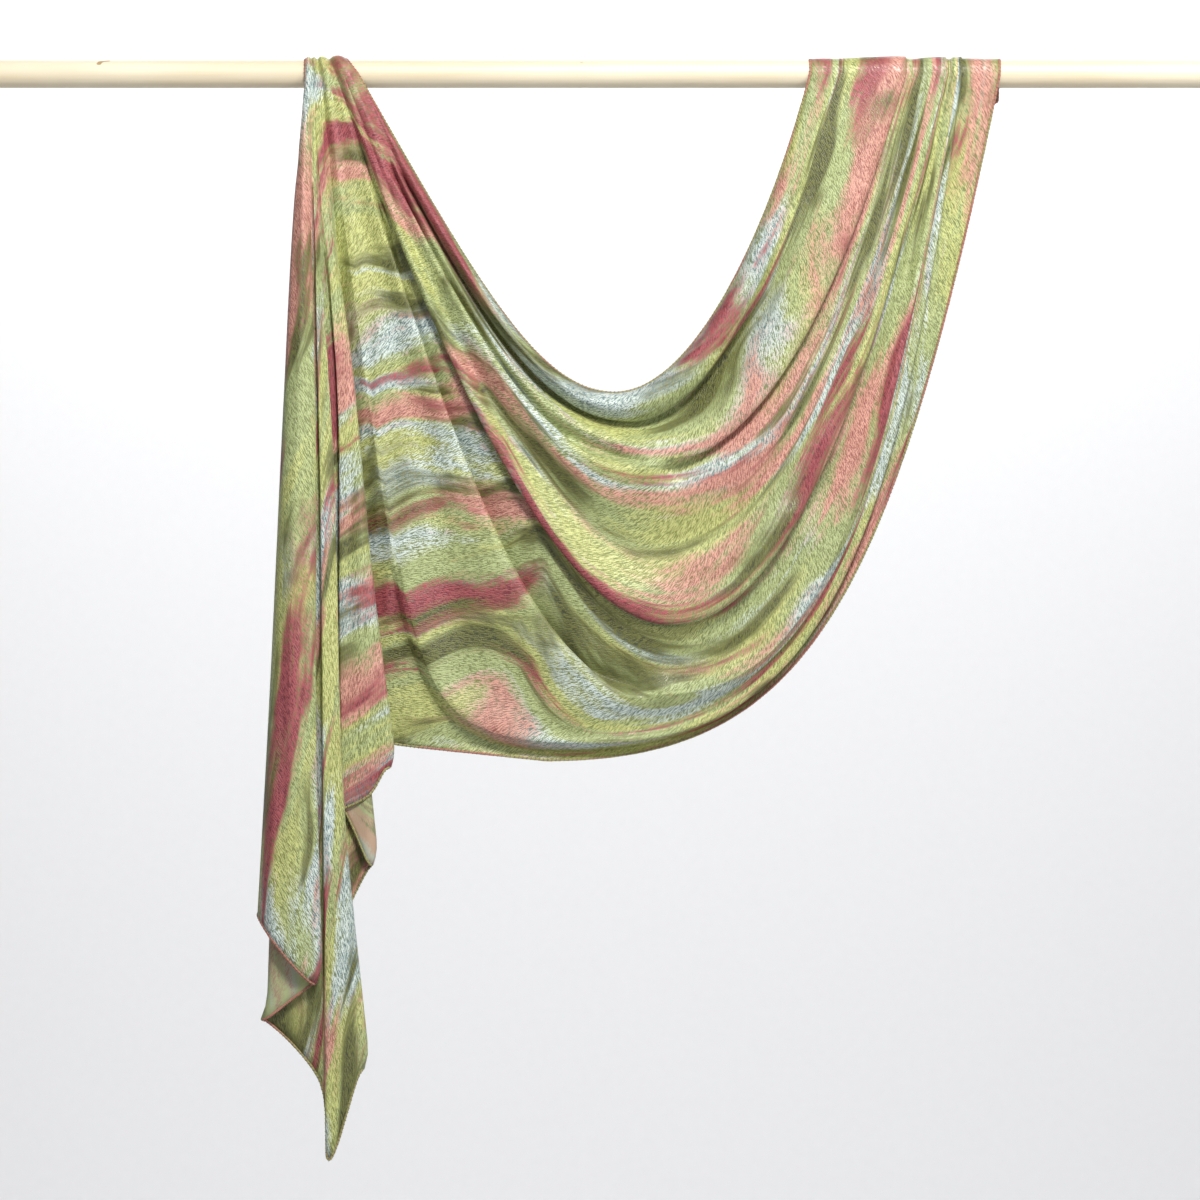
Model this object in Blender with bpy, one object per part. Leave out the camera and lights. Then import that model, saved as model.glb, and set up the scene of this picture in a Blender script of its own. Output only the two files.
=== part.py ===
"""A satin hijab hung over a round wooden rod.

The cloth is one rectangle. A point on its upper edge is gathered over the rod at the left. From
there one stretch hangs in a deep U to the right, where the short end is spread in pleats over the
rod, and the other stretch falls straight down as a tail that is folded zigzag.

Sizes in the tables are millimetres. X runs right, Y runs away from the viewer and Z runs up, from
an origin on the rod's axis.
"""

import math
from collections import namedtuple

import bmesh
import bpy
import numpy as np

MILLIMETRE = 0.001

# the rod
ROD_DIAMETER = 28.0
ROD_LENGTH = 1300.0
ROD_EDGE_ROUND = 2.0
ROD_SIDES = 48

# the cloth
WALL = 1.0
REST_GAP = 0.35
SEAM_GAP = 0.3
LAP_BEHIND_ROD = 30.0
GATHER_BEHIND_ROD = 12.0

# the gather, where every fold of the cloth meets at the rod
GATHER_RIGHT = -243.0
GATHER_MIDDLE = -279.3
GATHER_LEFT = -296.0
GATHER_RIPPLE_LENGTH = 8.0
GATHER_RIPPLE_HEIGHT = 2.2
GATHER_OPENS_BY = 0.18

# folds
TIGHT_FOLD_RADIUS = 0.95
SOFT_FOLD_RADIUS = 2.6
FLAT_SPREAD = (-1.0, -0.7, -0.35, 0.0, 0.35, 0.7, 1.0)
FOLD_BACK = (0.0, 1.0, 2.0, 2.0, 3.0, 4.0, 4.0)
WIDEST_SPREAD = 5.0
SPREAD_OF_ROOM = 0.4
TUCK_OF_ROOM = 0.8

# how far the left of the swag hangs back behind the tail, and where its folds come level at the rod
BEHIND_TAIL = 8.0
LEVELS_FROM = 1.6

# how finely the cloth is divided, and where its strings lie so close that the wall is evened out
SWAG_STEPS_LEFT = 24
SWAG_STEPS_RIGHT = 22
TAIL_STEPS = 30
LAP_STEPS = 8
CROWDED_STEP = 1.5
CROWDED_PASSES = 6

# A row for each line that runs along the swag, from its upper edge to its lower one. Each line is
# a curve from the gather down to its lowest point and up to where it lands on the rod. A lean is
# the sideways run for each unit of fall, a reach is how far the curve follows its lean, a flat is
# how far it stays level beside its lowest point, a rise lifts the left end of that level stretch,
# and a pull above 1 sharpens the corner there.
Line = namedtuple("Line", "name gather low_x low_z land lean_left reach_left flat_left rise pull "
                          "lean_right reach_right flat_right")
SWAG_LINES = [
    Line("upper_hem", -243.0, 15.0, -320.5, 211.0, 0.57, 252.0, 75.0, 0.0, 1.0, 0.26, 160.0, 80.0),
    Line("roll_crest", -246.0, 20.0, -334.0, 222.0, 0.54, 266.0, 78.0, 0.0, 1.0, 0.26, 168.0, 84.0),
    Line("roll_foot", -249.0, 30.0, -349.5, 238.0, 0.50, 280.0, 85.0, 0.0, 1.0, 0.26, 178.0, 88.0),
    Line("pale_panel", -252.5, 40.0, -371.0, 270.0, 0.49, 290.0, 98.0, 0.0, 1.0, 0.27, 200.0, 98.0),
    Line("first_fold", -258.5, 52.0, -394.0, 307.0, 0.49, 305.0, 112.0, 0.0, 1.0, 0.29, 230.0, 110.0),
    Line("second_crest", -261.5, 52.0, -425.5, 316.0, 0.46, 310.0, 110.0, 0.0, 1.0, 0.28, 255.0, 108.0),
    Line("middle_valley", -262.7, 60.0, -474.0, 328.0, 0.42, 318.0, 110.0, 0.0, 1.0, 0.26, 290.0, 106.0),
    Line("third_crest", -263.9, 66.0, -518.0, 338.0, 0.39, 324.0, 110.0, 0.0, 1.0, 0.25, 325.0, 104.0),
    Line("second_fold", -266.5, 72.0, -553.5, 347.0, 0.37, 330.0, 112.0, 0.0, 1.0, 0.235, 368.0, 104.0),
    Line("recess", -268.8, 68.0, -592.0, 351.0, 0.37, 318.0, 130.0, 0.0, 1.0, 0.21, 400.0, 130.0),
    Line("fan_edge", -271.0, 60.0, -623.5, 355.0, 0.37, 305.0, 150.0, 0.0, 1.0, 0.18, 430.0, 165.0),
    Line("fan_valley", -273.2, -10.0, -663.5, 359.0, 0.20, 480.0, 130.0, 0.0, 1.0, 0.15, 490.0, 232.0),
    Line("third_fold", -276.0, -20.0, -676.5, 363.0, 0.13, 560.0, 160.0, 0.0, 2.0, 0.13, 500.0, 235.0),
    Line("lower_hem", -279.0, -54.0, -689.5, 401.0, 0.0872, 675.0, 166.0, 17.0, 12.0, 0.20, 560.0, 254.0),
]

# A row for each of those lines: how far the cloth tucks under itself there, at the left, at the
# lowest point and at the rod; its depth at the lowest point; and how far it lifts off the rod.
# A tuck above 0 steps back behind the line, and one below 0 comes forward over what is before it.
Tuck = namedtuple("Tuck", "left low land depth lift")
SWAG_TUCKS = {
    "upper_hem": Tuck(0.0, 0.0, 0.0, -14.0, 0.0),
    "roll_crest": Tuck(0.0, 0.0, 0.0, -29.0, 0.9),
    "roll_foot": Tuck(0.0, 0.0, 0.0, -20.0, 0.9),
    "pale_panel": Tuck(0.0, 0.0, 0.0, -27.0, 4.1),
    "first_fold": Tuck(-14.0, 0.0, 34.0, -37.0, 4.1),
    "second_crest": Tuck(0.0, 0.0, 0.0, -33.0, 0.4),
    "middle_valley": Tuck(0.0, 0.0, 0.0, -23.0, 4.1),
    "third_crest": Tuck(0.0, 0.0, 0.0, -33.0, 4.1),
    "second_fold": Tuck(22.0, 30.0, 18.0, -38.0, 4.1),
    "recess": Tuck(0.0, 0.0, 0.0, -18.0, 0.4),
    "fan_edge": Tuck(-24.0, 0.0, 0.0, -25.0, 4.1),
    "fan_valley": Tuck(0.0, 0.0, 0.0, -12.0, 4.1),
    "third_fold": Tuck(0.0, 0.0, 8.0, -16.0, 4.1),
    "lower_hem": Tuck(0.0, 0.0, 0.0, -1.0, 0.0),
}

# A row for each line that runs down the tail, from beside the swag to the free long edge. It gives
# x at the gather, at three fractions of the way down and at the hem, how far down the hem is, and
# how far the hem kicks out. Where a line is a fold, the cloth before it tucks under by the tucks
# given at the last three, as far down as hidden_drop, and comes back in front from behind to depth.
TailLine = namedtuple("TailLine", "name gather start upper lower hem drop flare "
                                  "tuck_upper tuck_lower tuck_hem hidden_drop behind depth")
START_PART = 0.12
UPPER_PART = 0.40
LOWER_PART = 0.75
TAIL_LINES = [
    TailLine("right_fold", -280.3, -277.2, -250.0, -225.5, -203.0, 696.0, 0, 9, 17, 30, 686.0, -14.0, -28.0),
    TailLine("right_panel", -280.8, -278.4, -257.5, -246.0, -231.0, 724.0, 0, 0, 0, 0, 724.0, -30.0, -30.0),
    TailLine("hem_flute", -281.4, -279.8, -263.0, -261.0, -257.0, 794.0, 36, 6, 16, 16, 832.0, -29.0, -38.0),
    TailLine("front_fold", -282.4, -281.4, -265.5, -254.0, -229.0, 996.5, 0, 14, 22, 38, 913.0, -39.0, -51.0),
    TailLine("tip", -284.8, -284.2, -278.0, -273.0, -270.0, 1087.5, 0, 0, 0, 0, 1087.5, -58.0, -58.0),
    TailLine("valley", -287.0, -286.6, -281.0, -280.5, -279.0, 1007.5, 0, 0, 0, 0, 1007.5, -50.0, -50.0),
    TailLine("left_fold", -288.8, -289.0, -283.0, -282.0, -276.0, 910.5, 0, 24, 38, 56, 946.5, -51.0, -65.0),
    TailLine("left_panel", -291.7, -295.0, -300.0, -307.0, -311.0, 884.5, 0, 0, 0, 0, 884.5, -73.0, -73.0),
    TailLine("outer_fold", -294.6, -302.6, -313.0, -326.0, -338.0, 848.5, 0, 0, 0, 0, 848.5, -60.0, -60.0),
    TailLine("outer_back", -295.4, -302.8, -314.0, -327.0, -338.0, 838.0, 0, 0, 0, 0, 838.0, -30.0, -30.0),
    TailLine("free_edge", -296.0, -300.0, -304.0, -310.0, -318.0, 813.0, 0, 0, 0, 0, 813.0, -16.0, -16.0),
]
FLARE_LENGTH = 62.0
SEAM_DROP = 655.0
TAIL_EVEN_DROP = 800.0

# how fast each stretch comes forward below the rod, and where its folds start and are fully open
SWAG_OPENS = 1.6
TAIL_OPENS = 3.0
SWAG_FOLDS_FROM = 0.14
TAIL_FOLDS_FROM = 0.16
FOLD_OPENS_OVER = 0.2

ROD_RADIUS = ROD_DIAMETER / 2.0
ROD_TO_CLOTH = ROD_RADIUS + REST_GAP + WALL / 2.0

COLOURS = {
    "rod": (0.83, 0.76, 0.62),
    "swag": (0.62, 0.58, 0.40),
    "tail": (0.50, 0.52, 0.33),
    "gather_over_rod": (0.60, 0.62, 0.42),
    "end_over_rod": (0.66, 0.45, 0.42),
}


def ease(part, speed):
    """How far a fold has opened out after this part of its fall."""
    return 1.0 - (1.0 - np.clip(part, 0.0, 1.0)) ** speed


def smooth_step(value):
    clipped = np.clip(value, 0.0, 1.0)
    return clipped * clipped * (3.0 - 2.0 * clipped)


def through(places, values, at):
    """A smooth curve through a few values, with the slope at each taken from its neighbours."""
    places = np.array(places)
    values = np.array(values)
    slopes = np.gradient(values, places)
    span = np.clip(np.searchsorted(places, at, side="right") - 1, 0, len(places) - 2)
    length = places[span + 1] - places[span]
    part = (at - places[span]) / length
    rise = values[span + 1] - values[span]
    blend = part * part * (3.0 - 2.0 * part)
    lead_in = part * (1.0 - part) ** 2 * (slopes[span] * length)
    lead_out = part * part * (1.0 - part) * (slopes[span + 1] * length)
    return values[span] + rise * blend + lead_in - lead_out


def gather_lift(x):
    """Height of the rippled gather over its rest on the rod."""
    wave = math.tau * (x - GATHER_RIGHT) / GATHER_RIPPLE_LENGTH
    return GATHER_RIPPLE_HEIGHT * 0.5 * (1.0 - np.cos(wave))


def curve_half(start, start_lean, start_reach, low, flat, rise, side, pull, steps):
    """Half of a swag line, from the rod to its lowest point, at even steps along it."""
    run = math.hypot(start_lean, 1.0)
    first = np.array(start)
    second = first + start_reach * np.array((side * start_lean, -1.0)) / run
    last = np.array(low)
    third = last + np.array((-side * flat, rise))
    part = np.linspace(0.0, 1.0, 400)[:, None]
    weights = ((1 - part) ** 3, 3 * pull * part * (1 - part) ** 2,
               3 * pull * part ** 2 * (1 - part), part ** 3)
    fine = sum(w * p for w, p in zip(weights, (first, second, third, last))) / sum(weights)
    along = np.concatenate(([0.0], np.cumsum(np.linalg.norm(np.diff(fine, axis=0), axis=1))))
    stops = np.linspace(0.0, along[-1], steps + 1)
    return np.column_stack([np.interp(stops, along, fine[:, axis]) for axis in (0, 1)])


def swag_curve(line):
    """A line of the swag from the gather to the rod at the right, seen from the front."""
    low = (line.low_x, line.low_z)
    left = curve_half((line.gather, 0.0), line.lean_left, line.reach_left, low,
                      line.flat_left, line.rise, 1.0, line.pull, SWAG_STEPS_LEFT)
    right = curve_half((line.land, 0.0), line.lean_right, line.reach_right, low,
                       line.flat_right, 0.0, -1.0, 1.0, SWAG_STEPS_RIGHT)
    return np.vstack((left, right[-2::-1]))


def outward(curve):
    """The direction across a line, towards the swag's lower edge."""
    run = np.gradient(curve, axis=0)
    run /= np.linalg.norm(run, axis=1)[:, None]
    return np.column_stack((run[:, 1], -run[:, 0]))


def fold_strings(tuck, radius, spread):
    """Across and back offsets of the seven strings of a fold, which steps back before it turns."""
    size = np.abs(tuck)
    stepped = smooth_step(size / (1.2 * radius))
    turned = smooth_step((size - 0.8 * radius) / (2.2 * radius))
    under = np.maximum(size - radius, radius)
    none = np.zeros_like(size)
    behind = (-radius, none, -radius, -under, -under - radius, -under, none)
    over = (none, under, under + radius, under, radius, none, radius)
    for number, flat in enumerate(FLAT_SPREAD):
        last = len(FLAT_SPREAD) - 1
        offset = np.where(tuck < 0.0, over[number], behind[number])
        step = np.where(tuck < 0.0, FOLD_BACK[last - number], FOLD_BACK[number])
        level = FOLD_BACK[-1] * np.where(tuck < 0.0, last - number, number) / last
        yield ((1.0 - turned) * flat * spread + turned * offset,
               stepped * radius * (turned * step + (1.0 - turned) * level))


def swag_strings():
    """Every string of the swag, each an array of points from the gather to the rod."""
    place = np.concatenate((np.linspace(0.0, 1.0, SWAG_STEPS_LEFT + 1),
                            1.0 + np.linspace(0.0, 1.0, SWAG_STEPS_RIGHT + 1)[1:]))
    at_left = place <= 1.0
    hangs_back = BEHIND_TAIL * np.where(at_left, np.sin(math.pi * place) ** 2, 0.0)
    curves = np.array([swag_curve(line) for line in SWAG_LINES])
    outwards = np.array([outward(curve) for curve in curves])
    steps_across = np.abs(np.sum(np.diff(curves, axis=0) * outwards[:-1], axis=2))
    places_across = np.vstack((np.zeros(len(place)), np.cumsum(steps_across, axis=0)))
    depths = []
    openings = []
    for line, curve in zip(SWAG_LINES, curves):
        tucks = SWAG_TUCKS[line.name]
        fallen = ease(curve[:, 1] / line.low_z, SWAG_OPENS)
        at_rod = -(ROD_TO_CLOTH + np.where(at_left, gather_lift(line.gather), tucks.lift))
        depths.append(at_rod + (tucks.depth - at_rod) * fallen + hangs_back)
        openings.append(fallen)
    depths = np.array(depths)
    folds = [number for number, line in enumerate(SWAG_LINES) if any(SWAG_TUCKS[line.name][:3])]
    strings = []
    for number, line in enumerate(SWAG_LINES):
        curve = curves[number]
        if number not in folds:
            strings.append(np.column_stack((curve[:, 0], depths[number], curve[:, 1])))
            continue
        tucks = SWAG_TUCKS[line.name]
        tuck = np.interp(place, (0.0, SWAG_FOLDS_FROM, 0.5, 1.0, 1.6, 2.0),
                         (0.0, 0.0, tucks.left, tucks.low, tucks.land, tucks.land))
        tuck = tuck * smooth_step((place - SWAG_FOLDS_FROM) / FOLD_OPENS_OVER)
        two_after = min(number + 2, len(SWAG_LINES) - 1)
        covering = np.where(tuck < 0.0, places_across[two_after], places_across[number - 2])
        room = TUCK_OF_ROOM * np.abs(covering - places_across[number])
        tuck = np.clip(tuck, -room, room)
        spread = SPREAD_OF_ROOM * np.minimum(steps_across[number - 1], steps_across[number])
        spread = np.minimum(spread, WIDEST_SPREAD)
        radius = TIGHT_FOLD_RADIUS + (SOFT_FOLD_RADIUS - TIGHT_FOLD_RADIUS) * openings[number]
        for offset, back in fold_strings(tuck, radius, spread):
            depth = [np.interp(at, places, levels) for at, places, levels
                     in zip(places_across[number] + offset, places_across.T, depths.T)]
            moved = curve + outwards[number] * offset[:, None]
            moved[:, 1] -= moved[-1, 1] * smooth_step((place - LEVELS_FROM) / (2.0 - LEVELS_FROM))
            strings.append(np.column_stack((moved[:, 0], depth + back, moved[:, 1])))
    return strings


def tail_height(part, drop):
    """Height along a tail line, level with the others near the rod and apart at the hem."""
    return -(TAIL_EVEN_DROP * part + (drop - TAIL_EVEN_DROP) * part ** 3)


def tail_strings(swag_side):
    """Every string of the tail, each an array of points from the gather to the hem."""
    part = np.linspace(0.0, 1.0, TAIL_STEPS + 1)
    fallen = ease(part, TAIL_OPENS)
    opened = smooth_step((part - TAIL_FOLDS_FROM) / FOLD_OPENS_OVER)
    seam_z = tail_height(part, SEAM_DROP)
    seam = [np.interp(-seam_z, -swag_side[:, 2], swag_side[:, axis]) for axis in (0, 1)]
    strings = [np.column_stack((seam[0] - SEAM_GAP - 0.75 * WALL, seam[1], seam_z))]
    sides = []
    for line in TAIL_LINES:
        height = tail_height(part, line.drop)
        x = through((0.0, START_PART, UPPER_PART, LOWER_PART, 1.0),
                    (line.gather, line.start, line.upper, line.lower, line.hem), -height / line.drop)
        kick = np.clip(1.0 - (height + line.drop) / FLARE_LENGTH, 0.0, 1.0) ** 1.5
        sides.append(x + line.flare * kick)
    for number, line in enumerate(TAIL_LINES):
        x = sides[number]
        at_rod = -(ROD_TO_CLOTH + gather_lift(line.gather))
        depth = at_rod + (line.depth - at_rod) * fallen
        if not line.tuck_hem:
            strings.append(np.column_stack((x, depth, tail_height(part, line.drop))))
            continue
        before = strings[-1][:, 0] - x
        after = x - sides[number + 1]
        spread = np.clip(SPREAD_OF_ROOM * np.minimum(before, after), 0.0, WIDEST_SPREAD)
        tuck = opened * np.interp(part, (0.0, TAIL_FOLDS_FROM, UPPER_PART, LOWER_PART, 1.0),
                                  (0.0, 0.0, line.tuck_upper, line.tuck_lower,
                                   line.tuck_hem + line.flare))
        radius = np.maximum((line.behind - line.depth) * fallen / 4.0, TIGHT_FOLD_RADIUS)
        drops = (line.hidden_drop,) * 3 + (line.drop,) * 3
        fold = list(fold_strings(-tuck, radius, spread))[1:]
        for (offset, back), drop in zip(fold, drops):
            strings.append(np.column_stack((x - offset, depth + back, tail_height(part, drop))))
    return strings


def open_from_gather(strings, right, left, part):
    """Start each string at its own place in the gather, and let it run out to its own line."""
    places = np.linspace(right, left, len(strings))
    hold = 1.0 - smooth_step(part / GATHER_OPENS_BY)
    opened = []
    for string, x in zip(strings, places):
        start = np.array((x, -(ROD_TO_CLOTH + gather_lift(x)), 0.0))
        opened.append(string + hold[:, None] * (start - string[0]))
    return opened


def even_out(strings, evenness):
    """Slide strings along the cloth until they are evenly apart, where evenness is 1."""
    sheet = np.array(strings)
    count = len(sheet)
    for column, share in enumerate(evenness):
        points = sheet[:, column]
        steps = np.linalg.norm(np.diff(points, axis=0), axis=1)
        along = np.concatenate(([0.0], np.cumsum(steps)))
        stops = (1.0 - share) * along + share * np.linspace(0.0, along[-1], count)
        slid = [np.interp(stops, along, points[:, axis]) for axis in range(3)]
        sheet[:, column] = np.column_stack(slid)
    return sheet


def over_rod(x, lift, behind, hang):
    """A string from the front of the rod over its top to the hem that hangs behind it."""
    reach = ROD_TO_CLOTH + lift
    turns = np.linspace(0.0, math.pi, LAP_STEPS)
    arc = [(x, -reach * math.cos(turn), reach * math.sin(turn)) for turn in turns]
    return np.array(arc + [(x, reach + behind, -hang)])


def wall_object(name, strings):
    """A closed cloth wall around a sheet given by its strings."""
    sheet = np.array(strings)
    along = np.gradient(sheet, axis=1)
    across = np.gradient(sheet, axis=0)
    normal = np.cross(along, across)
    normal /= np.linalg.norm(normal, axis=2)[:, :, None]
    crowded = 0.5 * np.clip(1.0 - np.linalg.norm(across, axis=2) / CROWDED_STEP, 0.0, 1.0)
    for _ in range(CROWDED_PASSES):
        beside = (np.vstack((normal[:1], normal[:-1])) + np.vstack((normal[1:], normal[-1:]))) / 2.0
        normal += crowded[:, :, None] * (beside - normal)
    front = sheet + normal * WALL / 2.0
    back = sheet - normal * WALL / 2.0
    rows, columns = sheet.shape[:2]
    mesh = bpy.data.meshes.new(name)
    built = bmesh.new()
    faces = [[[built.verts.new(point * MILLIMETRE) for point in row] for row in side]
             for side in (front, back)]
    for row in range(rows - 1):
        for column in range(columns - 1):
            corners = [(row, column), (row, column + 1), (row + 1, column + 1), (row + 1, column)]
            one_way = np.linalg.norm(sheet[row, column] - sheet[row + 1, column + 1])
            other_way = np.linalg.norm(sheet[row, column + 1] - sheet[row + 1, column])
            if other_way < one_way:
                corners = corners[1:] + corners[:1]
            for three in ((corners[0], corners[1], corners[2]), (corners[0], corners[2], corners[3])):
                built.faces.new([faces[0][r][c] for r, c in three])
                built.faces.new([faces[1][r][c] for r, c in reversed(three)])
    rim = [(0, column) for column in range(columns)]
    rim += [(row, columns - 1) for row in range(1, rows)]
    rim += [(rows - 1, column) for column in range(columns - 2, -1, -1)]
    rim += [(row, 0) for row in range(rows - 2, 0, -1)]
    for (r0, c0), (r1, c1) in zip(rim, rim[1:] + rim[:1]):
        built.faces.new((faces[0][r1][c1], faces[0][r0][c0], faces[1][r0][c0], faces[1][r1][c1]))
    bmesh.ops.triangulate(built, faces=built.faces[:])
    bmesh.ops.recalc_face_normals(built, faces=built.faces[:])
    built.to_mesh(mesh)
    built.free()
    return add_object(name, mesh)


def rod_object():
    """The round wooden rod, with its ends cut square and their edges just rounded."""
    mesh = bpy.data.meshes.new("rod")
    built = bmesh.new()
    half = ROD_LENGTH / 2.0
    round_steps = 3
    profile = [(half - ROD_EDGE_ROUND * (1.0 - math.sin(step * math.pi / 2 / round_steps)),
                ROD_RADIUS - ROD_EDGE_ROUND * (1.0 - math.cos(step * math.pi / 2 / round_steps)))
               for step in range(round_steps + 1)]
    sections = [(-x, radius) for x, radius in reversed(profile)] + profile
    rings = []
    for x, radius in sections:
        ring = []
        for side in range(ROD_SIDES):
            turn = math.tau * side / ROD_SIDES
            point = (x, radius * math.sin(turn), radius * math.cos(turn))
            ring.append(built.verts.new([value * MILLIMETRE for value in point]))
        rings.append(ring)
    for ring, following in zip(rings, rings[1:]):
        for side in range(ROD_SIDES):
            beside = (side + 1) % ROD_SIDES
            built.faces.new((ring[side], ring[beside], following[beside], following[side]))
    built.faces.new(rings[0])
    built.faces.new(rings[-1][::-1])
    bmesh.ops.recalc_face_normals(built, faces=built.faces[:])
    built.to_mesh(mesh)
    built.free()
    return add_object("rod", mesh)


def add_object(name, mesh):
    item = bpy.data.objects.new(name, mesh)
    bpy.context.scene.collection.objects.link(item)
    material = bpy.data.materials.new(name + "_finish")
    material.use_nodes = True
    shader = material.node_tree.nodes["Principled BSDF"]
    shader.inputs["Base Color"].default_value = COLOURS[name] + (1.0,)
    shader.inputs["Roughness"].default_value = 0.45
    shader.inputs["Metallic"].default_value = 0.0
    mesh.materials.append(material)
    mesh.shade_smooth()
    return item


for item in list(bpy.data.objects):
    bpy.data.objects.remove(item, do_unlink=True)

rod_object()

place = np.arange(SWAG_STEPS_LEFT + SWAG_STEPS_RIGHT + 1) / SWAG_STEPS_LEFT
swag = open_from_gather(swag_strings(), GATHER_RIGHT, GATHER_MIDDLE + SEAM_GAP, place)
swag = even_out(swag, 1.0 - smooth_step(place / SWAG_FOLDS_FROM))
wall_object("swag", swag)

part = np.arange(TAIL_STEPS + 1) / TAIL_STEPS
swag_side = swag[-1][:SWAG_STEPS_LEFT]
tail = open_from_gather(tail_strings(swag_side), GATHER_MIDDLE - 0.75 * WALL, GATHER_LEFT, part)
tail = even_out(tail, 1.0 - smooth_step(part / TAIL_FOLDS_FROM))
wall_object("tail", tail)

seam = np.array((0.0, 0.0, SEAM_GAP))
end = [over_rod(string[-1][0], -string[-1][1] - ROD_TO_CLOTH, 3.0, LAP_BEHIND_ROD) + seam
       for string in swag]
wall_object("end_over_rod", end)

gather_places = np.linspace(GATHER_RIGHT, GATHER_LEFT, 40)
gather = [over_rod(x, gather_lift(x), 1.0, GATHER_BEHIND_ROD) + seam for x in gather_places]
wall_object("gather_over_rod", gather)
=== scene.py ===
"""A satin hijab hung over a round, painted wooden rod.

Tables are in millimetres and meshes in metres. X runs right, Y runs away from the viewer and Z runs
up, from an origin on the rod's axis.
"""

import math
from collections import namedtuple

import bmesh
import bpy
import numpy as np
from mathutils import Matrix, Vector


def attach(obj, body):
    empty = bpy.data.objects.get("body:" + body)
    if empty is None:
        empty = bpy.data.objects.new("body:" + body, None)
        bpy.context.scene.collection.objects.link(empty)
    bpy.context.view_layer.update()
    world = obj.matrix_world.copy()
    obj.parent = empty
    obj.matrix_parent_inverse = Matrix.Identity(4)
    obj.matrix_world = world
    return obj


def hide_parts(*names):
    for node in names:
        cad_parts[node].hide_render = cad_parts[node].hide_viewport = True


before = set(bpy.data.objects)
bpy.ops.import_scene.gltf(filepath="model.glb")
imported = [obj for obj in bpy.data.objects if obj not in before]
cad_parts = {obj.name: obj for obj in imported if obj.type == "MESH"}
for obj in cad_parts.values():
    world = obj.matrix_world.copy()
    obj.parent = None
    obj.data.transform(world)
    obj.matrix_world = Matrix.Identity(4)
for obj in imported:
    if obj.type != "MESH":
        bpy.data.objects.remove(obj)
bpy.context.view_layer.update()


# The rod: one length of round softwood dowel, 28 mm across and 1.3 m long, sawn square at both
# ends. It has two brushed coats of cream paint, with the grain just showing and a few small knocks.

MILLIMETRE = 0.001
CREAM_PAINT = (226, 212, 184)
CREAM_IN_GRAIN = (225, 209, 177)
CREAM_SECOND_COAT = (235, 224, 199)
BARE_WOOD = (176, 146, 104)


def seen(colour):
    """The shader's colour for one that is named as it looks on a screen, from 0 to 255."""
    return tuple((c / 255 / 12.92) if c < 11 else ((c / 255 + 0.055) / 1.055) ** 2.4
                 for c in colour) + (1.0,)


def finish_of(name):
    """A new material with its node tree and its Principled shader."""
    material = bpy.data.materials.new(name)
    material.use_nodes = True
    return material, material.node_tree, material.node_tree.nodes["Principled BSDF"]


def add_node(tree, kind, sockets, **settings):
    """A shader node, with each named socket set to a value or joined to another node's output."""
    made = tree.nodes.new("ShaderNode" + kind)
    for name, value in settings.items():
        setattr(made, name, value)
    for socket, value in sockets.items():
        if isinstance(value, bpy.types.NodeSocket):
            tree.links.new(value, made.inputs[socket])
        else:
            made.inputs[socket].default_value = value
    return made


def stretched(tree, vector, scale, shift=(0.0, 0.0, 0.0)):
    """The place that a pattern is read at, which is moved first and then scaled."""
    moved = add_node(tree, "Mapping", {"Vector": vector, "Location": shift})
    return add_node(tree, "Mapping", {"Vector": moved.outputs[0], "Scale": scale}).outputs[0]


def noise(tree, vector, detail=2.0, roughness=0.5, distortion=0.0):
    return add_node(tree, "TexNoise", {"Vector": vector, "Scale": 1.0, "Detail": detail,
                                       "Roughness": roughness, "Distortion": distortion}).outputs[0]


def between(tree, value, low, high):
    """0 where the value is under low, 1 where it is over high, and smooth from one to the other."""
    return add_node(tree, "MapRange", {"Value": value, "From Min": low, "From Max": high},
                    interpolation_type="SMOOTHSTEP").outputs[0]


def mixed(tree, share, first, second):
    return add_node(tree, "MixRGB", {"Fac": share, "Color1": first, "Color2": second}).outputs[0]


def sums(tree, how, first, second):
    return add_node(tree, "Math", {0: first, 1: second}, operation=how).outputs[0]


def relief(tree, height, strength, distance):
    return add_node(tree, "Bump", {"Height": height, "Strength": strength,
                                   "Distance": distance}).outputs[0]


def brushed_cream_paint():
    material, tree, shader = finish_of("brushed_cream_paint")
    place = add_node(tree, "TexCoord", {}).outputs["Object"]
    grain = noise(tree, stretched(tree, place, (7.0, 260.0, 260.0)), 4.0, 0.6, 0.4)
    clouds = noise(tree, stretched(tree, place, (5.0, 30.0, 30.0)), 2.0)
    paint = mixed(tree, between(tree, grain, 0.42, 0.68), seen(CREAM_PAINT), seen(CREAM_IN_GRAIN))
    paint = mixed(tree, between(tree, clouds, 0.35, 0.75), paint, seen(CREAM_SECOND_COAT))
    knocks = noise(tree, stretched(tree, place, (60.0, 85.0, 85.0), shift=(0.31, 0.2, 0.1)), 1.0)
    knocked = between(tree, knocks, 0.79, 0.81)
    tree.links.new(mixed(tree, knocked, paint, seen(BARE_WOOD)), shader.inputs["Base Color"])
    rough = add_node(tree, "MapRange", {"Value": grain, "To Min": 0.34, "To Max": 0.52}).outputs[0]
    tree.links.new(rough, shader.inputs["Roughness"])
    raised = sums(tree, "SUBTRACT", grain, sums(tree, "MULTIPLY", knocked, 1.5))
    tree.links.new(relief(tree, raised, 0.35, 0.0006), shader.inputs["Normal"])
    shader.inputs["Coat Weight"].default_value = 0.06
    shader.inputs["Coat Roughness"].default_value = 0.3
    return material


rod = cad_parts["rod"]
rod.data.materials.clear()
rod.data.materials.append(brushed_cream_paint())


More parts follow.
